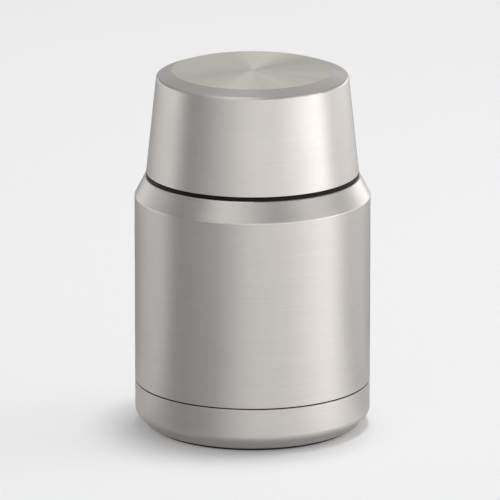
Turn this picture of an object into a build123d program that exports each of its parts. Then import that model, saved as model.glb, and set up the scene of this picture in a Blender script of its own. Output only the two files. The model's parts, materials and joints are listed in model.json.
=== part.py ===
from build123d import *
import math
import os

# Vacuum food jar with a screw stopper and a cup lid that turns on lugs, in millimetres.
# The origin is the centre of the foot. +Z is the jar's axis and points up.

# Shared thicknesses and clearances
sheet = 0.5              # steel sheet of every drawn part
fit_gap = 0.05           # between pieces that are joined for good
turn_gap = 0.3           # between faces that turn or slide past each other
seal_gap = 0.1           # under a soft seal that has just met its seat
reveal = 0.3             # fine open line above and below the black band

# Foot and base cup
pad_inset = 2.2          # the pad's edge stands this far inside the steel's foot
pad_thickness = 2.2
pad_proud = 1.4          # the pad stands this far below the steel
pad_edge = 0.3           # rounding of the pad's edges
pad_recess_gap = 0.4     # around the pad in its recess
pad_groove_count = 3
pad_groove_margin = 8.6  # from the pad's edge to the middle of the outer groove
pad_groove_pitch = 10.0
pad_groove_width = 2.4
pad_groove_depth = 0.5
base_chamfer_run = 4.4
base_chamfer_rise = 4.85
base_band_height = 12.5
base_rounding = 3.3
foot_rounding = 1.0
seam_height = 0.5        # open groove between the base cup and the casing
seam_edge = 0.15

# Casing
body_radius = 47.5
wall_height = 76.25
shoulder_run = 4.2
shoulder_rise = 8.0
shoulder_rounding = 1.2
ledge_rounding = 0.6
neck_height = 9.5
neck_space = 0.5         # vacuum between the two necks
tuck_depth = 6.75        # the casing reaches this far into the base cup

# Food container and vacuum space
vacuum_space = 3.8
vessel_floor_rounding = 8.0
vessel_shoulder_drop = 8.0    # the container's shoulder starts this far below the casing's
vessel_neck_drop = 4.5        # and its neck this far below the ledge
vessel_shoulder_rounding = 5.0
lip_rounding = 0.45
floor_space = 4.0        # vacuum below the container
plate_drop = 2.5         # between the base cup's floor and the vacuum plate
plate_wall_height = 11.0
plate_rounding = 3.0
dimple_radius = 6.0
dimple_depth = 1.0
pump_hole_radius = 1.2
bead_radius = 4.4
bead_height = 0.6
foil_thickness = 0.2
foil_space = 0.1
foil_margin = 2.0        # the foil ends this far inside the container's straight wall
getter_radius = 5.0
getter_height = 2.0
getter_offset = 20.0

# Stopper
skirt_wall = 1.5
band_height = 1.0
plug_gap = 0.6           # around the plug in the mouth
plug_wall = 2.0
plug_depth = 22.0        # from the flange down to the base disc
flange_thickness = 2.0
gasket_height = 2.0
spigot_wall = 1.5
spigot_height = 4.0
base_disc = 2.0
base_spigot_height = 3.0
base_spigot_wall = 1.5
cover_height = 11.9
cover_wall = 1.2
cover_rim_width = 7.75
cover_dish_depth = 2.5
cover_dish_slope = 1.5
cover_plate = 1.5
grip_rib_radius = 0.4
grip_rib_count = 60
grip_rib_margin = 1.5

# Vent button in the stopper
well_radius = 9.0
well_wall = 1.2
well_clearance = 0.6     # left under the button when it is pressed
button_gap = 0.4
button_height = 5.0
button_plate = 2.0
button_wall = 1.2
button_proud = 1.5       # above the cover's dished floor
button_edge = 0.6
button_boss_radius = 3.0
button_boss_height = 3.0
vent_travel = 2.0
stem_radius = 1.4
stem_passage = 0.6       # air way around the stem
tube_wall = 1.4
boss_wall = 1.5
vent_seal_radius = 4.6
vent_seal_height = 1.5
stem_head_radius = 2.4
stem_head_height = 1.0
spring_radius = 4.2
spring_wire_radius = 0.3
spring_turns = 4

# Threads: the stopper on the jar's neck, and the lid's lugs on the stopper's skirt
ridge_root = 1.5
ridge_crest = 0.9
ridge_bite = 0.25        # how far a ridge runs into its wall
ridge_slack = 0.3        # between the faces of two ridges that bear on each other
thread_height = 1.0
thread_lead = 12.0
thread_starts = 3
thread_span = 100.0
thread_mate_span = 60.0
thread_rise_start = 3.3  # centre of a neck ridge's low end above the ledge
lug_height = 0.9
lug_lead = 24.0
lug_starts = 4
lug_span = 50.0
lug_mate_span = 40.0
lug_rise_start = 3.2     # centre of a lug's low end above the lid's edge
lug_top_gap = 0.8        # between the lugs' tops and the step in the thread ring

# Cup lid
lid_inset = 0.5          # the lid's edge stands this far inside the shoulder's
lid_height = 41.65
lid_taper = 6.0
lid_corner_rounding = 1.4
lid_edge_rounding = 0.2
crest_inset = 10.3       # crisp edge around the spun top, in from the lid's lower edge
crest_slope = 19.0
ring_lift = 0.5          # the thread ring ends this far inside the lid's edge
ring_wall = 1.0
shelf_thickness = 1.0
shelf_width = 2.7
lid_gasket_height = 1.5
lid_gasket_edge = 0.3
bowl_inset = 0.2         # the bowl's wall stands this far outside the shelf's bore
bowl_rounding = 6.0
bowl_ceiling_space = 2.25
lid_foam_inset = 4.7     # in from the corner of the bowl's ceiling

# Heights, from the floor up
chamfer_top = pad_proud + base_chamfer_rise
seam_foot = chamfer_top + base_band_height
seam_top = seam_foot + seam_height
shoulder_foot = seam_top + wall_height
ledge = shoulder_foot + shoulder_rise
rim = ledge + neck_height
band_foot = ledge + reveal
band_top = band_foot + band_height
lid_foot = band_top + reveal
flange_foot = rim + seal_gap + gasket_height
flange_top = flange_foot + flange_thickness
shelf_foot = flange_top + seal_gap + lid_gasket_height
shelf_top = shelf_foot + shelf_thickness
lid_top = lid_foot + lid_height
base_floor = pad_thickness + fit_gap + sheet
plate_foot = base_floor + plate_drop
vessel_foot = plate_foot + sheet + floor_space
vessel_floor = vessel_foot + sheet
vessel_shoulder = shoulder_foot - vessel_shoulder_drop
vessel_neck = ledge - vessel_neck_drop
plug_foot = flange_foot - plug_depth
base_foot = plug_foot - fit_gap - base_disc

# Radii, from the outside in
foot_radius = body_radius - base_chamfer_run
pad_radius = foot_radius - pad_inset
ledge_radius = body_radius - shoulder_run
lid_edge_radius = ledge_radius - lid_inset
band_radius = lid_edge_radius    # the band is flush with the lid's edge
crest_radius = lid_edge_radius - crest_inset
taper_run = math.tan(math.radians(lid_taper))
crest_fall = math.tan(math.radians(crest_slope))
lid_wall = sheet / math.cos(math.radians(lid_taper))


def lid_bore(height):
    # Inner radius of the lid's steel wall at a height.
    return lid_edge_radius - lid_wall - (height - lid_foot) * taper_run


ring_bore = lid_bore(shelf_top) - fit_gap - ring_wall
skirt_radius = ring_bore - turn_gap
ring_lug_bore = skirt_radius + lug_height + turn_gap
skirt_bore = skirt_radius - skirt_wall
neck_radius = skirt_bore - turn_gap - thread_height
vessel_neck_radius = neck_radius - sheet - neck_space
mouth_radius = vessel_neck_radius - sheet
vessel_radius = body_radius - sheet - vacuum_space
vessel_bore = vessel_radius - sheet
plug_radius = mouth_radius - plug_gap
plug_bore = plug_radius - plug_wall
tuck_radius = body_radius - sheet - fit_gap
tuck_bore = tuck_radius - sheet


def soften(section, point, radius):
    # Round the corner of a section that lies nearest to a point (radius, height).
    fillet(section.vertices().sort_by_distance(point)[0], radius)


def helical_ridge(root_radius, reach, foot, lead, span, first_angle):
    # One helical ridge on a round wall. foot is the height of the centre of its low end,
    # and a negative reach points the ridge inwards.
    bite = -math.copysign(ridge_bite, reach)
    start_plane = Plane.XY.offset(foot).rotated((0, 0, first_angle))
    with BuildPart() as ridge:
        with BuildLine(start_plane) as path:
            Helix(pitch=lead, height=lead * span / 360, radius=root_radius)
        ridge_plane = Plane(
            origin=path.line @ 0, x_dir=start_plane.x_dir, z_dir=path.line % 0
        )
        with BuildSketch(ridge_plane):
            with BuildLine():
                Polyline(
                    (bite, -ridge_root / 2),
                    (0, -ridge_root / 2),
                    (reach, -ridge_crest / 2),
                    (reach, ridge_crest / 2),
                    (0, ridge_root / 2),
                    (bite, ridge_root / 2),
                    close=True,
                )
            make_face()
        sweep(path=path.line, is_frenet=True)
    return ridge.part


# Ridges: each mate lies just under the ridge that it bears on, on the same screw line
thread_mate_turn = (thread_span - thread_mate_span) / 2
thread_ridge = helical_ridge(
    neck_radius, thread_height, ledge + thread_rise_start, thread_lead, thread_span, 0
)
thread_mate = helical_ridge(
    skirt_bore,
    -thread_height,
    ledge + thread_rise_start - ridge_root - ridge_slack
    + thread_lead * thread_mate_turn / 360,
    thread_lead,
    thread_mate_span,
    thread_mate_turn,
)
lug_mate_turn = (lug_span - lug_mate_span) / 2
lug_ridge = helical_ridge(
    skirt_radius, lug_height, lid_foot + lug_rise_start, lug_lead, lug_span, 0
)
lug_mate = helical_ridge(
    ring_lug_bore,
    -lug_height,
    lid_foot + lug_rise_start - ridge_root - ridge_slack + lug_lead * lug_mate_turn / 360,
    lug_lead,
    lug_mate_span,
    lug_mate_turn,
)


# Jar ---------------------------------------------------------------------------------

# Casing: the tuck inside the base cup, the wall, the sloping shoulder, ledge and neck
with BuildPart() as outer_shell:
    with BuildSketch(Plane.XZ) as casing_section:
        with BuildLine():
            Polyline(
                (body_radius, seam_top),
                (body_radius, shoulder_foot),
                (ledge_radius, ledge),
                (neck_radius, ledge),
                (neck_radius, rim - sheet - fit_gap),
            )
            offset(amount=sheet, side=Side.LEFT, kind=Kind.INTERSECTION)
        make_face()
        with BuildLine():
            Polyline(
                (tuck_bore, seam_foot - tuck_depth),
                (tuck_radius, seam_foot - tuck_depth),
                (tuck_radius, seam_top),
                (body_radius, seam_top),
                (body_radius, seam_top + sheet),
                (tuck_bore, seam_top + sheet),
                close=True,
            )
        make_face()
        soften(casing_section, (body_radius, seam_top), seam_edge)
        soften(casing_section, (body_radius, shoulder_foot), shoulder_rounding)
        soften(casing_section, (body_radius - sheet, shoulder_foot), shoulder_rounding - sheet)
        soften(casing_section, (ledge_radius, ledge), ledge_rounding)
    revolve(axis=Axis.Z)
    with PolarLocations(0, thread_starts):
        add(thread_ridge)

# Steel cup under the seam, with a shallow recess for the pad
with BuildPart() as base_cup:
    with BuildSketch(Plane.XZ) as cup_section:
        with BuildLine():
            Polyline(
                (body_radius, seam_foot),
                (body_radius, chamfer_top),
                (foot_radius, pad_proud),
                (pad_radius + pad_recess_gap, pad_proud),
                (pad_radius + pad_recess_gap, pad_thickness + fit_gap),
                (0, pad_thickness + fit_gap),
            )
            offset(amount=sheet, side=Side.RIGHT, kind=Kind.INTERSECTION)
        make_face()
        soften(cup_section, (body_radius, seam_foot), seam_edge)
        soften(cup_section, (body_radius, chamfer_top), base_rounding)
        soften(cup_section, (body_radius - sheet, chamfer_top), base_rounding - sheet)
        soften(cup_section, (foot_radius, pad_proud), foot_rounding)
    revolve(axis=Axis.Z)

with BuildPart() as foot_pad:
    with BuildSketch(Plane.XZ) as pad_section:
        with Locations((pad_radius / 2, pad_thickness / 2)):
            Rectangle(pad_radius, pad_thickness)
        soften(pad_section, (pad_radius, 0), pad_edge)
        for groove in range(pad_groove_count):
            groove_radius = pad_radius - pad_groove_margin - groove * pad_groove_pitch
            with Locations((groove_radius, pad_groove_depth / 2)):
                Rectangle(pad_groove_width, pad_groove_depth, mode=Mode.SUBTRACT)
    revolve(axis=Axis.Z)

# Food container, drawn in one piece; its lip turns out over the casing's neck
with BuildPart() as inner_vessel:
    with BuildSketch(Plane.XZ) as vessel_section:
        with BuildLine():
            Polyline(
                (0, vessel_floor),
                (vessel_bore, vessel_floor),
                (vessel_bore, vessel_shoulder),
                (mouth_radius, vessel_neck),
                (mouth_radius, rim),
                (neck_radius, rim),
            )
            offset(amount=sheet, side=Side.RIGHT, kind=Kind.INTERSECTION)
        make_face()
        soften(vessel_section, (vessel_bore, vessel_floor), vessel_floor_rounding)
        soften(vessel_section, (vessel_radius, vessel_foot), vessel_floor_rounding + sheet)
        soften(vessel_section, (vessel_bore, vessel_shoulder), vessel_shoulder_rounding)
        soften(vessel_section, (vessel_radius, vessel_shoulder), vessel_shoulder_rounding + sheet)
        soften(vessel_section, (mouth_radius, rim), lip_rounding)
    revolve(axis=Axis.Z)

with BuildPart() as foil_wrap:
    foil_foot = vessel_floor + vessel_floor_rounding + foil_margin
    with BuildSketch(Plane.XY.offset(foil_foot)):
        Circle(vessel_radius + foil_space + foil_thickness)
        Circle(vessel_radius + foil_space, mode=Mode.SUBTRACT)
    extrude(amount=vessel_shoulder - foil_margin - foil_foot)

# Plate that closes the vacuum space, with a dimple and a hole where it was pumped out
with BuildPart() as vacuum_bottom:
    with BuildSketch(Plane.XZ) as plate_section:
        with BuildLine():
            Polyline(
                (tuck_bore - fit_gap, plate_foot + plate_wall_height),
                (tuck_bore - fit_gap, plate_foot),
                (dimple_radius, plate_foot),
                (dimple_radius - dimple_depth, plate_foot + dimple_depth),
                (pump_hole_radius, plate_foot + dimple_depth),
            )
            offset(amount=sheet, side=Side.RIGHT, kind=Kind.INTERSECTION)
        make_face()
        soften(plate_section, (tuck_bore - fit_gap, plate_foot), plate_rounding)
        soften(
            plate_section,
            (tuck_bore - fit_gap - sheet, plate_foot + sheet),
            plate_rounding - sheet,
        )
    revolve(axis=Axis.Z)

with BuildPart() as sealing_bead:
    bead_top = plate_foot + dimple_depth - fit_gap
    with BuildSketch(Plane.XY.offset(bead_top - bead_height)):
        Circle(bead_radius)
    extrude(amount=bead_height)
    chamfer(sealing_bead.faces().sort_by(Axis.Z)[0].edges(), bead_height / 2)
    with BuildSketch(Plane.XY.offset(bead_top)):
        Circle(pump_hole_radius - fit_gap)
    extrude(amount=sheet)

with BuildPart() as getter:
    with BuildSketch(Plane.XY.offset(plate_foot + sheet + fit_gap)):
        with Locations((getter_offset, 0)):
            Circle(getter_radius)
    extrude(amount=getter_height)
    chamfer(getter.faces().sort_by(Axis.Z)[-1].edges(), getter_height / 4)


# Stopper -----------------------------------------------------------------------------

# Plug, flange and threaded skirt in one moulding; the skirt ends in the black band
with BuildPart() as stopper_body:
    with BuildSketch(Plane.XZ) as stopper_section:
        with BuildLine():
            Polyline(
                (plug_bore, plug_foot),
                (plug_radius, plug_foot),
                (plug_radius, flange_foot),
                (skirt_bore, flange_foot),
                (skirt_bore, band_foot),
                (band_radius, band_foot),
                (band_radius, band_top),
                (skirt_radius, band_top),
                (skirt_radius, flange_top),
                (plug_bore + spigot_wall, flange_top),
                (plug_bore + spigot_wall, flange_top + spigot_height),
                (plug_bore, flange_top + spigot_height),
                close=True,
            )
        make_face()
        soften(stopper_section, (band_radius, band_foot), band_height / 5)
        soften(stopper_section, (band_radius, band_top), band_height / 5)
    revolve(axis=Axis.Z)
    with PolarLocations(0, thread_starts):
        add(thread_mate)
    with PolarLocations(0, lug_starts):
        add(lug_ridge)

tube_bore = stem_radius + stem_passage
tube_radius = tube_bore + tube_wall

with BuildPart() as stopper_base:
    with BuildSketch(Plane.XY.offset(base_foot)):
        Circle(plug_radius)
        Circle(tube_bore, mode=Mode.SUBTRACT)
    extrude(amount=base_disc)
    with BuildSketch(Plane.XY.offset(base_foot + base_disc)):
        Circle(plug_bore - fit_gap)
        Circle(plug_bore - fit_gap - base_spigot_wall, mode=Mode.SUBTRACT)
        Circle(tube_radius + fit_gap + boss_wall)
        Circle(tube_radius + fit_gap, mode=Mode.SUBTRACT)
    extrude(amount=base_spigot_height)
    fillet(
        stopper_base.faces().sort_by(Axis.Z)[0].edges().sort_by(SortBy.LENGTH)[-1],
        base_disc / 2,
    )

# Cover: outer wall, rim, dished floor, the button's well and the tube around the stem
cover_foot = flange_top + fit_gap
cover_top = cover_foot + cover_height
cover_bore = plug_bore + spigot_wall + fit_gap
cover_radius = cover_bore + cover_wall
dish_floor = cover_top - cover_dish_depth
dish_radius = cover_radius - cover_rim_width
button_top = dish_floor + button_proud
button_foot = button_top - button_height
button_ceiling = button_top - button_plate
button_radius = well_radius - button_gap
well_floor = button_foot - vent_travel - well_clearance

with BuildPart() as stopper_top:
    with BuildSketch(Plane.XZ) as cover_section:
        with BuildLine():
            Polyline(
                (cover_bore, cover_foot),
                (cover_radius, cover_foot),
                (cover_radius, cover_top),
                (dish_radius, cover_top),
                (dish_radius - cover_dish_slope, dish_floor),
                (well_radius, dish_floor),
                (well_radius, well_floor),
                (tube_bore, well_floor),
                (tube_bore, base_foot + base_disc + fit_gap),
                (tube_radius, base_foot + base_disc + fit_gap),
                (tube_radius, well_floor - cover_plate),
                (well_radius + well_wall, well_floor - cover_plate),
                (well_radius + well_wall, dish_floor - cover_plate),
                (dish_radius - cover_dish_slope, dish_floor - cover_plate),
                (dish_radius, cover_top - cover_plate),
                (cover_bore, cover_top - cover_plate),
                close=True,
            )
        make_face()
        soften(cover_section, (cover_radius, cover_top), cover_wall / 2)
        soften(cover_section, (dish_radius, cover_top), cover_wall / 2)
    revolve(axis=Axis.Z)
    with BuildSketch(Plane.XY.offset(cover_foot)):
        with PolarLocations(cover_radius, grip_rib_count):
            Circle(grip_rib_radius)
        Circle(cover_bore + cover_wall / 2, mode=Mode.SUBTRACT)
    extrude(amount=cover_height - grip_rib_margin)

with BuildPart() as stopper_foam:
    foam_foot = base_foot + base_disc + base_spigot_height + fit_gap
    with BuildSketch(Plane.XY.offset(foam_foot)):
        Circle(plug_bore - fit_gap)
        Circle(tube_radius + fit_gap, mode=Mode.SUBTRACT)
    extrude(amount=well_floor - cover_plate - fit_gap - foam_foot)

# The ring lies under the flange and rises with the stopper, without turning
with BuildPart() as stopper_gasket:
    with BuildSketch(Plane.XY.offset(rim + seal_gap)):
        Circle(skirt_bore - turn_gap)
        Circle(plug_radius + turn_gap, mode=Mode.SUBTRACT)
    extrude(amount=gasket_height)
    fillet(stopper_gasket.faces().sort_by(Axis.Z)[0].edges(), gasket_height / 5)


# Vent --------------------------------------------------------------------------------

seal_top = base_foot - seal_gap

with BuildPart() as vent_button:
    with BuildSketch(Plane.XZ) as button_section:
        with BuildLine():
            Polyline(
                (0, button_top),
                (button_radius, button_top),
                (button_radius, button_foot),
                (button_radius - button_wall, button_foot),
                (button_radius - button_wall, button_ceiling),
                (button_boss_radius, button_ceiling),
                (button_boss_radius, button_ceiling - button_boss_height),
                (stem_radius + fit_gap, button_ceiling - button_boss_height),
                (stem_radius + fit_gap, button_ceiling),
                (0, button_ceiling),
                close=True,
            )
        make_face()
        soften(button_section, (button_radius, button_top), button_edge)
    revolve(axis=Axis.Z)

with BuildPart() as vent_stem:
    head_top = seal_top - vent_seal_height - fit_gap
    with BuildSketch(Plane.XY.offset(head_top - stem_head_height)):
        Circle(stem_head_radius)
    extrude(amount=stem_head_height)
    with BuildSketch(Plane.XY.offset(head_top)):
        Circle(stem_radius)
    extrude(amount=button_ceiling - fit_gap - head_top)

with BuildPart() as vent_seal:
    with BuildSketch(Plane.XY.offset(seal_top - vent_seal_height)):
        Circle(vent_seal_radius)
        Circle(stem_radius + fit_gap, mode=Mode.SUBTRACT)
    extrude(amount=vent_seal_height)

# Coil spring between the well's floor and the button
with BuildPart() as vent_spring:
    spring_foot = well_floor + fit_gap + spring_wire_radius
    spring_length = button_ceiling - fit_gap - spring_wire_radius - spring_foot
    with BuildLine(Plane.XY.offset(spring_foot)) as coil:
        Helix(pitch=spring_length / spring_turns, height=spring_length, radius=spring_radius)
    with BuildSketch(Plane(origin=coil.line @ 0, x_dir=(1, 0, 0), z_dir=coil.line % 0)):
        Circle(spring_wire_radius)
    sweep(path=coil.line, is_frenet=True)


# Cup lid -----------------------------------------------------------------------------

# Outer corner of the lid: where the tapered wall meets the slope that falls from the crest
corner_height = (
    lid_top
    - (lid_edge_radius - crest_radius) * crest_fall
    - lid_foot * taper_run * crest_fall
) / (1 - taper_run * crest_fall)
corner_radius = lid_edge_radius - (corner_height - lid_foot) * taper_run
lid_ceiling = lid_top - sheet

with BuildPart() as lid_shell:
    with BuildSketch(Plane.XZ) as lid_section:
        with BuildLine():
            Polyline(
                (lid_edge_radius, lid_foot),
                (corner_radius, corner_height),
                (crest_radius, lid_top),
                (0, lid_top),
                (0, lid_ceiling),
                (crest_radius - sheet, lid_ceiling),
                (lid_bore(corner_height - sheet), corner_height - sheet),
                (lid_edge_radius - lid_wall, lid_foot),
                close=True,
            )
        make_face()
        soften(lid_section, (corner_radius, corner_height), lid_corner_rounding)
        soften(lid_section, (lid_edge_radius, lid_foot), lid_edge_rounding)
    revolve(axis=Axis.Z)

# Thread ring: lug space below, a closer bore above it, and the shelf over the gasket
ring_foot = lid_foot + ring_lift
ring_step = (
    lid_foot + lug_rise_start + lug_lead * lug_span / 360 + ridge_root / 2 + lug_top_gap
)
shelf_bore = ring_bore - shelf_width

with BuildPart() as lid_thread_ring:
    with BuildSketch(Plane.XZ) as ring_section:
        with BuildLine():
            Polyline(
                (ring_lug_bore, ring_foot),
                (lid_bore(ring_foot) - fit_gap, ring_foot),
                (lid_bore(shelf_top) - fit_gap, shelf_top),
                (shelf_bore, shelf_top),
                (shelf_bore, shelf_foot),
                (ring_bore, shelf_foot),
                (ring_bore, ring_step),
                (ring_lug_bore, ring_step),
                close=True,
            )
        make_face()
    revolve(axis=Axis.Z)
    with PolarLocations(0, lug_starts):
        add(lug_mate)

with BuildPart() as lid_gasket:
    with BuildSketch(Plane.XY.offset(flange_top + seal_gap)):
        Circle(ring_bore - turn_gap)
        Circle(shelf_bore + lid_gasket_edge, mode=Mode.SUBTRACT)
    extrude(amount=lid_gasket_height)
    fillet(lid_gasket.faces().sort_by(Axis.Z)[0].edges(), lid_gasket_edge)

# Inner bowl: a flange on the shelf, a tapered wall and a flat ceiling
bowl_foot = shelf_top + fit_gap
bowl_ceiling = lid_ceiling - bowl_ceiling_space - sheet
bowl_foot_radius = shelf_bore + bowl_inset
bowl_ceiling_radius = bowl_foot_radius - (bowl_ceiling - bowl_foot) * taper_run

with BuildPart() as lid_bowl:
    with BuildSketch(Plane.XZ) as bowl_section:
        with BuildLine():
            Polyline(
                (lid_bore(bowl_foot + sheet) - fit_gap, bowl_foot),
                (bowl_foot_radius, bowl_foot),
                (bowl_ceiling_radius, bowl_ceiling),
                (0, bowl_ceiling),
            )
            offset(amount=sheet, side=Side.RIGHT, kind=Kind.INTERSECTION)
        make_face()
        soften(bowl_section, (bowl_ceiling_radius, bowl_ceiling), bowl_rounding)
        soften(
            bowl_section,
            (bowl_ceiling_radius + sheet, bowl_ceiling + sheet),
            bowl_rounding + sheet,
        )
    revolve(axis=Axis.Z)

with BuildPart() as lid_foam:
    with BuildSketch(Plane.XY.offset(bowl_ceiling + sheet + fit_gap)):
        Circle(bowl_ceiling_radius - lid_foam_inset)
    extrude(amount=bowl_ceiling_space - 2 * fit_gap)


pieces = {
    "outer_shell": outer_shell,
    "base_cup": base_cup,
    "foot_pad": foot_pad,
    "inner_vessel": inner_vessel,
    "foil_wrap": foil_wrap,
    "vacuum_bottom": vacuum_bottom,
    "sealing_bead": sealing_bead,
    "getter": getter,
    "stopper_body": stopper_body,
    "stopper_base": stopper_base,
    "stopper_top": stopper_top,
    "stopper_foam": stopper_foam,
    "stopper_gasket": stopper_gasket,
    "vent_button": vent_button,
    "vent_stem": vent_stem,
    "vent_seal": vent_seal,
    "vent_spring": vent_spring,
    "lid_shell": lid_shell,
    "lid_thread_ring": lid_thread_ring,
    "lid_gasket": lid_gasket,
    "lid_bowl": lid_bowl,
    "lid_foam": lid_foam,
}
os.makedirs("parts", exist_ok=True)
for name, piece in pieces.items():
    piece.part.label = name
    export_step(piece.part, f"parts/{name}.step")
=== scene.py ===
import json
import math

import bpy
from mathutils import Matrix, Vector


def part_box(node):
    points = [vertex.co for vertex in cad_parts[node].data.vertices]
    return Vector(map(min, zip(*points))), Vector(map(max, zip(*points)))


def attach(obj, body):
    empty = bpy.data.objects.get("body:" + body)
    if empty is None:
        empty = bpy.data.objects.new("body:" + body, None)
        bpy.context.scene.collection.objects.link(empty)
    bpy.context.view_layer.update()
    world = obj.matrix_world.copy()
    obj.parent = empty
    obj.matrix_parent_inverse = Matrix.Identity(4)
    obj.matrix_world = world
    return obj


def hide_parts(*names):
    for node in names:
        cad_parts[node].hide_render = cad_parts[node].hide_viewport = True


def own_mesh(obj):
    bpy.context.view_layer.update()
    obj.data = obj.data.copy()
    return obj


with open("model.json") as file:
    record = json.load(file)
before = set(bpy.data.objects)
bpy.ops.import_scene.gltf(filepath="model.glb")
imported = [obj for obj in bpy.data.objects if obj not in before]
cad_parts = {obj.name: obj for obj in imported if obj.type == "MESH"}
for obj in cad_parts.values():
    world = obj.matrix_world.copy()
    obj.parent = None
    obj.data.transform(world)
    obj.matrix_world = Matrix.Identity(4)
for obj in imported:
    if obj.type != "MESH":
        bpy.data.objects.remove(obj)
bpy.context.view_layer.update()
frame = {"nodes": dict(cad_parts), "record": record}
mm = 0.001
print("frame loaded:", len(frame["nodes"]), "nodes")

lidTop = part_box("lid_shell")[1].z
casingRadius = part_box("outer_shell")[1].x
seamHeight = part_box("base_cup")[1].z
springFoot, springHead = (corner.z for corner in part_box("vent_spring"))


# colours and nodes

def toLinear(hexColour):
    parts = [int(hexColour[place:place + 2], 16) / 255 for place in (1, 3, 5)]
    linear = [part / 12.92 if part <= 0.04045 else ((part + 0.055) / 1.055) ** 2.4 for part in parts]
    return (*linear, 1.0)


def addNode(tree, kind, settings=None, links=None):
    # settings are properties or input values; a link starts at a socket or a node's first output
    node = tree.nodes.new(kind)
    for name, value in (settings or {}).items():
        if isinstance(name, str) and hasattr(node, name):
            setattr(node, name, value)
        else:
            node.inputs[name].default_value = value
    for name, source in (links or {}).items():
        socket = source.outputs[0] if isinstance(source, bpy.types.Node) else source
        tree.links.new(socket, node.inputs[name])
    return node


def newMaterial(name, settings):
    # an empty material with its shader, whose constants stand on the shader's own sockets
    material = bpy.data.materials.new(name)
    material.use_nodes = True
    tree = material.node_tree
    tree.nodes.clear()
    shader = addNode(tree, "ShaderNodeBsdfPrincipled", settings)
    addNode(tree, "ShaderNodeOutputMaterial", links={"Surface": shader})
    return material, tree, shader


noiseLow, noiseHigh = 0.3, 0.7  # a noise stays mostly between these
fromNoise = {1: noiseLow, 2: noiseHigh}
softNoise = {"noise_dimensions": "4D", "Detail": 2.0, "Roughness": 0.55}


def toneBetween(tree, pattern, first, second):
    # a tone that wanders from the first colour to the second with the pattern
    share = addNode(tree, "ShaderNodeMapRange", fromNoise, {0: pattern})
    settings = {"data_type": "RGBA", 6: toLinear(first), 7: toLinear(second)}
    return addNode(tree, "ShaderNodeMix", settings, {0: share}).outputs[2]


def glossBetween(tree, pattern, roughness, spread):
    settings = {**fromNoise, 3: roughness - spread, 4: roughness + spread}
    return addNode(tree, "ShaderNodeMapRange", settings, {0: pattern})


def joinSurface(tree, shader, colour, gloss, pattern, depth):
    # the pattern also gives the surface its height, to a depth in mm
    bump = addNode(tree, "ShaderNodeBump", {"Distance": depth * mm}, {"Height": pattern})
    tree.links.new(colour, shader.inputs["Base Color"])
    tree.links.new(gloss.outputs[0], shader.inputs["Roughness"])
    tree.links.new(bump.outputs[0], shader.inputs["Normal"])


def aroundAxis(tree):
    # position on the piece, its x, y and z, the same without z, and its distance from the axis
    place = addNode(tree, "ShaderNodeTexCoord").outputs["Object"]
    parts = addNode(tree, "ShaderNodeSeparateXYZ", links={0: place}).outputs
    flat = addNode(tree, "ShaderNodeCombineXYZ", links={0: parts[0], 1: parts[1]})
    length = addNode(tree, "ShaderNodeVectorMath", {"operation": "LENGTH"}, {0: flat})
    return place, parts, flat, length.outputs["Value"]


# brushed stainless steel, ground round the axis: long fine lines, and light drawn out across them
brushedWall = {
    "light": "#BEBAB7",
    "dark": "#B8B4B1",
    "grainLength": 38,       # mm
    "grainPitch": 0.9,       # mm; the real lines are near 0.1 mm and wouldn't show
    "grainDetail": 4.0,
    "grainStrength": 0.65,   # of the finest lines
    "lean": 0.6,             # the lines follow the radius too, on the shoulder and the lid's rim
    "grooveDepth": 0.002,    # mm
    "roughness": 0.36,
    "roughnessSpread": 0.04,
    "smudgeSize": 24,        # mm
    "smudgeShare": 0.5,      # of the spread in roughness; the lines make the rest
    "anisotropy": 0.75,
    "grooveTurn": 0.25,      # of a turn, so that light is drawn out across the lines
    "edgeTint": "#E4E4E4",   # steel returns less light at a grazing angle than aluminium does
    "seamShadeTone": "#34312E",   # painted shade: the steel deeper in the seam is coloured dark for the shadow in the gap
    "seamDepth": 0.3,        # mm inside the wall
    "seamReach": 1.5,        # mm above and below the seam
}

# the same steel, spun on a lathe; painted reflection: soft warm and cool wedges of tone meet at the
# centre, in place of the streaks of light that the spun face mirrors
spunTop = {
    "cool": "#C8C5C0",
    "warm": "#D5D2C6",
    "wedges": 1.8,           # how many soft wedges lie in a radian, about
    "wedgeDetail": 3.0,
    "wedgeStrength": 0.5,    # of the narrow wedges
    "wedgeVariant": 31.15,   # which of many patterns of wedges it is
    "roughness": 0.5,        # the cutter's marks are coarser than the wall's brushing
    "crestRadius": 32.5,     # mm
    "depthBelowTop": 0.1,    # mm
}


def brushedLines(tree, finish, parts, radius):
    # long round the axis and thin across it
    settings = {"operation": "MULTIPLY_ADD", 1: finish["lean"]}
    profile = addNode(tree, "ShaderNodeMath", settings, {0: radius, 2: parts[2]})
    links = {0: parts[0], 1: parts[1], 2: profile}
    joined = addNode(tree, "ShaderNodeCombineXYZ", links=links)
    along, across = finish["grainLength"] * mm, finish["grainPitch"] * mm
    settings = {"operation": "MULTIPLY", 1: (1 / along, 1 / along, 1 / across)}
    squeezed = addNode(tree, "ShaderNodeVectorMath", settings, {0: joined})
    settings = {
        **softNoise, "Scale": 1.0, "Detail": finish["grainDetail"],
        "Roughness": finish["grainStrength"],
    }
    return addNode(tree, "ShaderNodeTexNoise", settings, {"Vector": squeezed})


def satinGloss(tree, finish, place, lines):
    # the lines and the smudges each move it by their share of its spread
    share = finish["smudgeShare"]
    settings = {**softNoise, "Scale": 1 / (finish["smudgeSize"] * mm)}
    smudge = addNode(tree, "ShaderNodeTexNoise", settings, {"Vector": place})
    settings = {**fromNoise, 3: noiseLow * share, 4: noiseHigh * share}
    smudge = addNode(tree, "ShaderNodeMapRange", settings, {0: smudge})
    settings = {"operation": "MULTIPLY_ADD", 1: 1 - share}
    both = addNode(tree, "ShaderNodeMath", settings, {0: lines, 2: smudge})
    return glossBetween(tree, both, finish["roughness"], finish["roughnessSpread"])


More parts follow.
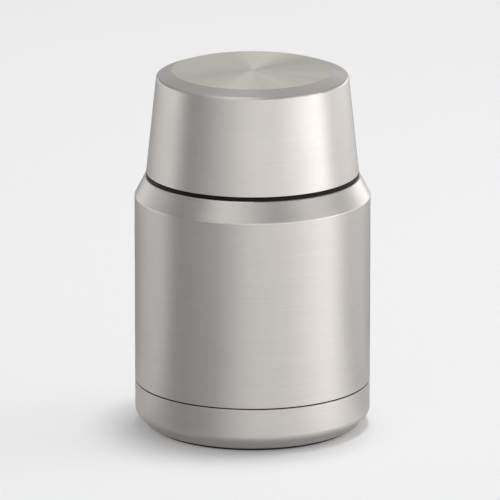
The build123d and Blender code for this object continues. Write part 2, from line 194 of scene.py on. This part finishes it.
def seamShadeMask(tree, finish, parts, radius):
    # 1 on what lies inside the wall near the seam's height, where the seam's shade is painted
    settings = {"operation": "LESS_THAN", 1: casingRadius - finish["seamDepth"] * mm}
    inside = addNode(tree, "ShaderNodeMath", settings, {0: radius})
    settings = {"operation": "COMPARE", 1: seamHeight, 2: finish["seamReach"] * mm}
    near = addNode(tree, "ShaderNodeMath", settings, {0: parts[2]})
    return addNode(tree, "ShaderNodeMath", {"operation": "MULTIPLY"}, {0: inside, 1: near})


def withinCrest(tree, spun, parts, radius):
    # 1 on the spun face inside the lid's crest
    settings = {"operation": "LESS_THAN", 1: spun["crestRadius"] * mm}
    within = addNode(tree, "ShaderNodeMath", settings, {0: radius})
    settings = {"operation": "GREATER_THAN", 1: lidTop - spun["depthBelowTop"] * mm}
    above = addNode(tree, "ShaderNodeMath", settings, {0: parts[2]})
    return addNode(tree, "ShaderNodeMath", {"operation": "MULTIPLY"}, {0: within, 1: above})


def reflectionWedgeTone(tree, spun, flat):
    # painted reflection: wedges of lighter and darker tone stand in for the light that a spun face
    # mirrors; the pattern is read on the unit circle, so that it changes only round the centre
    spoke = addNode(tree, "ShaderNodeVectorMath", {"operation": "NORMALIZE"}, {0: flat})
    settings = {
        **softNoise, "Scale": spun["wedges"], "Detail": spun["wedgeDetail"],
        "Roughness": spun["wedgeStrength"], "W": spun["wedgeVariant"],
    }
    wedges = addNode(tree, "ShaderNodeTexNoise", settings, {"Vector": spoke})
    return toneBetween(tree, wedges, spun["cool"], spun["warm"])


def brushedSteel(name, finish, spun=None):
    settings = {
        "Metallic": 1.0,
        "Anisotropic": finish["anisotropy"],
        "Anisotropic Rotation": finish["grooveTurn"],
        "Specular Tint": toLinear(finish["edgeTint"]),
    }
    material, tree, shader = newMaterial(name, settings)
    place, parts, flat, radius = aroundAxis(tree)
    lines = brushedLines(tree, finish, parts, radius)
    colour = toneBetween(tree, lines, finish["dark"], finish["light"])
    gloss = satinGloss(tree, finish, place, lines)
    if spun:
        onTop = withinCrest(tree, spun, parts, radius)
        # painted reflection: the wedges colour the spun face inside the crest
        links = {0: onTop, 6: colour, 7: reflectionWedgeTone(tree, spun, flat)}
        colour = addNode(tree, "ShaderNodeMix", {"data_type": "RGBA"}, links).outputs[2]
        coarser = spun["roughness"] - finish["roughness"]
        settings = {"operation": "MULTIPLY_ADD", 1: coarser}
        gloss = addNode(tree, "ShaderNodeMath", settings, {0: onTop, 2: gloss})
    else:
        # painted shade: the seam's gap is coloured dark where its shadow falls
        settings = {"data_type": "RGBA", 7: toLinear(finish["seamShadeTone"])}
        links = {0: seamShadeMask(tree, finish, parts, radius), 6: colour}
        colour = addNode(tree, "ShaderNodeMix", settings, links).outputs[2]
    joinSurface(tree, shader, colour, gloss, lines, finish["grooveDepth"])
    tangent = addNode(tree, "ShaderNodeTangent", {"direction_type": "RADIAL", "axis": "Z"})
    tree.links.new(tangent.outputs[0], shader.inputs["Tangent"])
    return material


casingSteel = brushedSteel("brushedStainlessCasing", brushedWall)
lidSteel = brushedSteel("brushedStainlessLid", brushedWall, spunTop)


# moulded and sheet materials of the pieces inside: one finish each, with grain and depth in mm
fineGrain = {
    "detail": 4.0,
    "cloudSize": 20,         # grains from one cloud of tone to the next
    "roughnessSpread": 0.05,
}


def plainFinish(name, finish):
    # a fine grain in the gloss and the height, and soft clouds in the tone
    settings = {"Metallic": finish.get("metallic", 0.0), **finish.get("shader", {})}
    material, tree, shader = newMaterial(name, settings)
    place = addNode(tree, "ShaderNodeTexCoord").outputs["Object"]
    size = finish["grain"] * mm
    settings = {**softNoise, "Scale": 1 / size, "Detail": fineGrain["detail"]}
    grain = addNode(tree, "ShaderNodeTexNoise", settings, {"Vector": place})
    settings = {**softNoise, "Scale": 1 / (fineGrain["cloudSize"] * size)}
    clouds = addNode(tree, "ShaderNodeTexNoise", settings, {"Vector": place})
    colour = toneBetween(tree, clouds, finish["dark"], finish["light"])
    gloss = glossBetween(tree, grain, finish["roughness"], fineGrain["roughnessSpread"])
    joinSurface(tree, shader, colour, gloss, grain, finish["depth"])
    return material


finishes = {
    # natural rubber, compression-moulded: nearly black and dull, with a fine tooth
    "pad_rubber": {
        "name": "mouldedNaturalRubber",
        "light": "#232323", "dark": "#191919", "grain": 0.4, "depth": 0.02, "roughness": 0.75,
    },
    # polypropylene, injection-moulded in a spark-eroded tool: black with a soft satin sheen
    "stopper_plastic": {
        "name": "sparkTexturedPolypropylene",
        "light": "#121110", "dark": "#0C0B0B", "grain": 0.35, "depth": 0.012, "roughness": 0.46,
        "shader": {"Specular IOR Level": 0.15},
    },
    # the same plastic from a smoother tool: a clearer sheen
    "stopper_base_plastic": {
        "name": "smoothMouldedPolypropylene",
        "light": "#1D1B1A", "dark": "#151413", "grain": 0.5, "depth": 0.006, "roughness": 0.36,
    },
    # polypropylene with a fine etched texture: dark grey, and dull enough to hide finger marks
    "cover_plastic": {
        "name": "etchedPolypropyleneCover",
        "light": "#2B2A29", "dark": "#201F1E", "grain": 0.3, "depth": 0.014, "roughness": 0.5,
    },
    # polypropylene, moulded grey and satin, so that the button stands out from its cover
    "button_plastic": {
        "name": "satinGreyPolypropylene",
        "light": "#8D8B88", "dark": "#7E7C79", "grain": 0.3, "depth": 0.008, "roughness": 0.38,
    },
    # polypropylene, moulded smooth where the lugs slide: a plain dark sheen
    "ring_plastic": {
        "name": "slidingPolypropyleneRing",
        "light": "#201E1D", "dark": "#171615", "grain": 0.45, "depth": 0.006, "roughness": 0.34,
    },
    # silicone rubber, moulded: milky grey, and lets a little light in
    "silicone": {
        "name": "mouldedMilkySilicone",
        "light": "#D2D1CD", "dark": "#C2C1BC", "grain": 0.5, "depth": 0.008, "roughness": 0.5,
        "shader": {"Subsurface Weight": 0.3, "Subsurface Scale": 0.002},
    },
    # stainless steel, deep-drawn and electropolished: bright, with a faint orange peel
    "vessel_steel": {
        "name": "electropolishedDrawnSteel",
        "light": "#CBC8C4", "dark": "#BFBCB8", "grain": 1.2, "depth": 0.006, "roughness": 0.2,
        "metallic": 1.0,
    },
    # stainless steel, drawn and tumbled: a little softer than the vessel's
    "bowl_steel": {
        "name": "tumbledDrawnSteel",
        "light": "#CBC8C4", "dark": "#BFBCB8", "grain": 1.2, "depth": 0.006, "roughness": 0.24,
        "metallic": 1.0,
    },
    # stainless steel sheet, pressed and left as rolled: grey and even
    "plate_steel": {
        "name": "pressedMillFinishSteel",
        "light": "#BEBBB7", "dark": "#ACA9A5", "grain": 0.8, "depth": 0.01, "roughness": 0.4,
        "metallic": 1.0,
    },
    # stainless steel bar, turned: bright
    "stem_steel": {
        "name": "turnedSteelBar",
        "light": "#C9C7C4", "dark": "#BDBBB8", "grain": 0.3, "depth": 0.003, "roughness": 0.25,
        "metallic": 1.0,
    },
    # spring wire, cold-drawn: slightly darker than the stem
    "spring_steel": {
        "name": "coldDrawnSpringWire",
        "light": "#C4C2BF", "dark": "#B1AFAC", "grain": 0.2, "depth": 0.003, "roughness": 0.28,
        "metallic": 1.0,
    },
    # aluminium foil, rolled: mirror-bright and slightly crumpled
    "foil": {
        "name": "rolledAluminiumFoil",
        "light": "#DCDCDD", "dark": "#CFCFD1", "grain": 3.0, "depth": 0.15, "roughness": 0.15,
        "metallic": 1.0,
    },
    # tin solder, set from a melt: a soft grey shine
    "solder": {
        "name": "castTinSolder",
        "light": "#B9B8B4", "dark": "#A5A4A0", "grain": 0.8, "depth": 0.03, "roughness": 0.35,
        "metallic": 1.0,
    },
    # zirconium alloy, pressed from powder and sintered: dark and grainy
    "getter_metal": {
        "name": "sinteredZirconiumAlloy",
        "light": "#6F6C69", "dark": "#5C5A57", "grain": 0.25, "depth": 0.02, "roughness": 0.6,
        "metallic": 1.0,
    },
    # polystyrene foam, steam-moulded from beads: white and dull
    "foam": {
        "name": "steamMouldedPolystyrene",
        "light": "#E6E5E1", "dark": "#D6D5D0", "grain": 2.5, "depth": 0.2, "roughness": 0.8,
    },
}

materialBySlot = {
    "casing_steel": casingSteel,
    "base_steel": casingSteel,
    "lid_steel": lidSteel,
}
for slotName, finish in finishes.items():
    materialBySlot[slotName] = plainFinish(finish["name"], finish)

for row in frame["record"]["subparts"]:
    node = frame["nodes"][row["node"]]
    node.data.materials.clear()
    node.data.materials.append(materialBySlot[row["material_slot"]])
print("materials set:", len(materialBySlot))


# vent spring: a wire coil that stands on the stopper
springCoil = {
    "turns": 4,
    "radius": 4.2,  # mm, to the middle of the wire
    "wire": 0.3,    # mm, the wire's radius
    "travel": 2.0,  # mm, how far the button presses it down
    "stepsPerTurn": 48,
    "wireSides": 12,
}


def coilMesh(coil, foot, head):
    # circles of the wire's outline along the helix, and a cap at each end
    points, faces = [], []
    count, sides = coil["turns"] * coil["stepsPerTurn"], coil["wireSides"]
    radius, wire = coil["radius"] * mm, coil["wire"] * mm
    low, high = foot + wire, head - wire
    for step in range(count + 1):
        turn = 2 * math.pi * step / coil["stepsPerTurn"]
        height = low + (high - low) * step / count
        for side in range(sides):
            lean = 2 * math.pi * side / sides
            reach = radius + wire * math.cos(lean)
            points.append(
                (reach * math.cos(turn), reach * math.sin(turn), height + wire * math.sin(lean))
            )
    for step in range(count):
        for side in range(sides):
            here, beside = step * sides + side, step * sides + (side + 1) % sides
            faces.append((here, beside, beside + sides, here + sides))
    faces.append(tuple(range(sides))[::-1])
    faces.append(tuple(range(count * sides, (count + 1) * sides)))
    mesh = bpy.data.meshes.new("springCoil")
    mesh.from_pydata(points, [], faces)
    mesh.polygons.foreach_set("use_smooth", [len(face) == 4 for face in faces])
    return mesh


spring = bpy.data.objects.new("springCoil", coilMesh(springCoil, springFoot, springHead))
spring.data.materials.append(materialBySlot["spring_steel"])
bpy.context.scene.collection.objects.link(spring)
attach(spring, "stopper")
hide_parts("vent_spring")
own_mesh(spring)
print("spring wound:", len(spring.data.vertices), "points")


# studio: pale floor, two softboxes, bands of graded light round the jar, and a camera
studio = {
    "paper": "#F2F2F2",
    "ambient": 0.40,
    "floorGlow": 0.22,      # share of the floor's paleness that no shadow reaches
    "floorRoughness": 0.9,
    "floorSize": 6.0,       # metres
    "floorDrop": 0.05,      # mm below the pad, so that their faces stay apart
    "target": (0, 0, 0.072),
}
softboxes = {
    # seen from the jar's middle, in degrees and metres; radiance is how bright its face is
    "overheadBox": {
        "azimuth": 138, "elevation": 83.5, "distance": 2.4, "size": 0.66, "radiance": 25.0,
    },
    "sideBox": {
        "azimuth": 102, "elevation": 29, "distance": 2.4, "size": 1.2, "radiance": 2.0,
    },
}
lightBands = {
    # each band runs round the jar from one radius and height to the next, in metres;
    # stops give its brightness by azimuth, with 0 towards the camera and 90 to its right
    # painted shadow: the floor bands glow over the floor for reflections only, and their dim stops
    # towards the front-left copy the jar's shadow on it
    "nearFloorBand": {
        "start": (0.055, 0.001), "end": (0.4, 0.001),
        "stops": {
            -180: 0.4, -150: 0.4, -120: 0.72, -88: 0.72, -76: 0.42, -30: 0.36, 0: 0.85,
            30: 0.95, 60: 1.25, 78: 1.2, 100: 0.72, 125: 0.82, 150: 0.45,
        },
    },
    "farFloorBand": {
        "start": (0.4, 0.001), "end": (1.3, 0.001),
        "stops": {
            -180: 0.4, -150: 0.58, -120: 0.8, -88: 0.7, -76: 0.42, -30: 0.36, 0: 0.85,
            30: 0.95, 60: 1.25, 78: 1.2, 100: 0.75, 125: 1.0, 150: 0.95,
        },
    },
    "lowBand": {
        "start": (1.3, 0.0), "end": (1.3, 0.37),
        "stops": {
            -180: 0.7, -165: 0.55, -150: 1.5, -98: 2.15, -88: 1.15, -76: 0.6, -55: 1.0,
            -30: 1.5, 0: 2.3, 30: 2.35, 55: 2.95, 80: 4.5, 100: 2.2, 125: 2.5, 150: 2.9,
            165: 0.95,
        },
    },
    "middleBand": {
        "start": (1.3, 0.37), "end": (1.3, 1.16),
        "stops": {
            -180: 1.05, -165: 0.7, -135: 0.35, -95: 0.4, -60: 0.2, -28: 1.2, 28: 0.6, 60: 1.15,
            95: 0.45, 135: 0.45, 165: 0.95,
        },
    },
    "highBand": {
        "start": (1.3, 1.16), "end": (1.3, 2.75),
        "stops": {-180: 0.7, -135: 0.6, -95: 0.7, -45: 1.3, 0: 0.25, 28: 0.2, 60: 0.5, 95: 0.65},
    },
    "topBand": {
        "start": (1.3, 2.75), "end": (0.01, 2.75),
        "stops": {-180: 0.66, -90: 0.8, -55: 2.8, -30: 3.0, 10: 2.45, 45: 0.75},
    },
}
bandStep = 3  # degrees
camera = {
    "place": (-0.00102, -2.944, 0.8632),  # metres
    "pitch": 15.04,  # degrees down
    "lens": 544.5,   # mm
    "sensor": 36,    # mm
}


def towards(azimuth, elevation, distance):
    # a place seen from the jar: azimuth 0 is towards the camera, positive to its right
    turn, lift = math.radians(azimuth), math.radians(elevation)
    direction = Vector(
        (math.sin(turn) * math.cos(lift), -math.cos(turn) * math.cos(lift), math.sin(lift))
    )
    return direction * distance


def addSoftbox(name, box):
    # lights the floor and the dull pieces; polished steel doesn't mirror it
    lamp = bpy.data.lights.new(name, "AREA")
    lamp.size = box["size"]
    lamp.energy = box["radiance"] * math.pi * box["size"] ** 2  # watts of a square lamp
    holder = bpy.data.objects.new(name, lamp)
    bpy.context.scene.collection.objects.link(holder)
    away = towards(box["azimuth"], box["elevation"], box["distance"])
    holder.location = Vector(studio["target"]) + away
    holder.rotation_euler = (-away).to_track_quat("-Z", "Y").to_euler()
    holder.visible_glossy = False


def addStage(name, points, faces, material):
    mesh = bpy.data.meshes.new(name)
    mesh.from_pydata(points, [], faces)
    mesh.materials.append(material)
    thing = bpy.data.objects.new(name, mesh)
    bpy.context.scene.collection.objects.link(thing)
    return thing


def shownDirectly(tree):
    # 1 for what the camera sees, straight, in gloss or through something clear
    path = addNode(tree, "ShaderNodeLightPath").outputs
    links = {0: path["Is Camera Ray"], 1: path["Is Glossy Ray"]}
    shown = addNode(tree, "ShaderNodeMath", {"operation": "ADD"}, links)
    settings = {"operation": "ADD", "use_clamp": True}
    links = {0: shown, 1: path["Is Transmission Ray"]}
    return addNode(tree, "ShaderNodeMath", settings, links)


def floorMaterial():
    # board, painted matt: pale and dull, so that it only takes the jar's shadow
    paper = toLinear(studio["paper"])
    settings = {
        "Base Color": paper, "Roughness": studio["floorRoughness"], "Specular IOR Level": 0.0,
    }
    material, tree, shader = newMaterial("mattPaintedBoard", settings)
    glow = addNode(tree, "ShaderNodeEmission", {"Color": paper, "Strength": 1.0})
    settings = {"operation": "MULTIPLY", 1: studio["floorGlow"]}
    share = addNode(tree, "ShaderNodeMath", settings, {0: shownDirectly(tree)})
    both = addNode(tree, "ShaderNodeMixShader", links={0: share, 1: shader, 2: glow})
    output = next(node for node in tree.nodes if node.type == "OUTPUT_MATERIAL")
    tree.links.new(both.outputs[0], output.inputs["Surface"])
    return material


half = studio["floorSize"] / 2
floor = addStage(
    "floor",
    [(-half, -half, 0), (half, -half, 0), (half, half, 0), (-half, half, 0)],
    [(0, 1, 2, 3)],
    floorMaterial(),
)
floor.location.z = -studio["floorDrop"] * mm


def bandMaterial(name, stops):
    # light whose strength changes with the azimuth
    material = bpy.data.materials.new(name)
    material.use_nodes = True
    tree = material.node_tree
    tree.nodes.clear()
    place = addNode(tree, "ShaderNodeTexCoord").outputs["Object"]
    parts = addNode(tree, "ShaderNodeSeparateXYZ", links={0: place}).outputs
    settings = {"operation": "MULTIPLY", 1: -1.0}  # the camera's side is at negative y
    forward = addNode(tree, "ShaderNodeMath", settings, {0: parts[1]})
    links = {0: parts[0], 1: forward}
    angle = addNode(tree, "ShaderNodeMath", {"operation": "ARCTAN2"}, links)
    share = addNode(tree, "ShaderNodeMapRange", {1: -math.pi, 2: math.pi}, {0: angle})
    ramp = addNode(tree, "ShaderNodeValToRGB", links={0: share})
    elements = ramp.color_ramp.elements
    elements.remove(elements[-1])
    strongest = max(stops.values())
    for azimuth, strength in [*sorted(stops.items()), (180, stops[-180])]:
        element = elements[0] if azimuth == -180 else elements.new((azimuth + 180) / 360)
        element.position = (azimuth + 180) / 360
        tone = strength / strongest
        element.color = (tone, tone, tone, 1.0)
    light = addNode(tree, "ShaderNodeEmission", {"Strength": strongest}, {"Color": ramp})
    addNode(tree, "ShaderNodeOutputMaterial", links={"Surface": light})
    return material


def addBand(name, band):
    # only reflections show it: it throws no light or shadow on the floor
    points, faces = [], []
    count = 360 // bandStep
    for step in range(count):
        for reach, height in (band["start"], band["end"]):
            points.append(towards(step * bandStep, 0, reach) + Vector((0, 0, height)))
        here, beside = 2 * step, 2 * ((step + 1) % count)
        faces.append((here, beside, beside + 1, here + 1))
    ring = addStage(name, points, faces, bandMaterial(name + "Light", band["stops"]))
    ring.visible_camera = False
    ring.visible_diffuse = False
    ring.visible_shadow = False


for name, band in lightBands.items():
    addBand(name, band)
for name, box in softboxes.items():
    addSoftbox(name, box)


def addRoom():
    # soft light from all round, with the plain backdrop where it is seen directly
    world = bpy.data.worlds.new("studioRoom")
    world.use_nodes = True
    bpy.context.scene.world = world
    tree = world.node_tree
    tree.nodes.clear()
    paper = toLinear(studio["paper"])
    settings = {"Color": paper, "Strength": studio["ambient"]}
    room = addNode(tree, "ShaderNodeBackground", settings)
    backdrop = addNode(tree, "ShaderNodeBackground", {"Color": paper, "Strength": 1.0})
    links = {0: shownDirectly(tree), 1: room, 2: backdrop}
    both = addNode(tree, "ShaderNodeMixShader", links=links)
    addNode(tree, "ShaderNodeOutputWorld", links={"Surface": both})


def addCamera():
    lens = bpy.data.cameras.new("camera")
    lens.lens = camera["lens"]
    lens.sensor_width = camera["sensor"]
    viewer = bpy.data.objects.new("camera", lens)
    bpy.context.scene.collection.objects.link(viewer)
    viewer.location = camera["place"]
    viewer.rotation_euler = (math.radians(90 - camera["pitch"]), 0, 0)
    bpy.context.scene.camera = viewer


addRoom()
addCamera()
bpy.context.scene.view_settings.view_transform = "Standard"
print("studio ready:", len(softboxes), "softboxes and", len(lightBands), "bands")
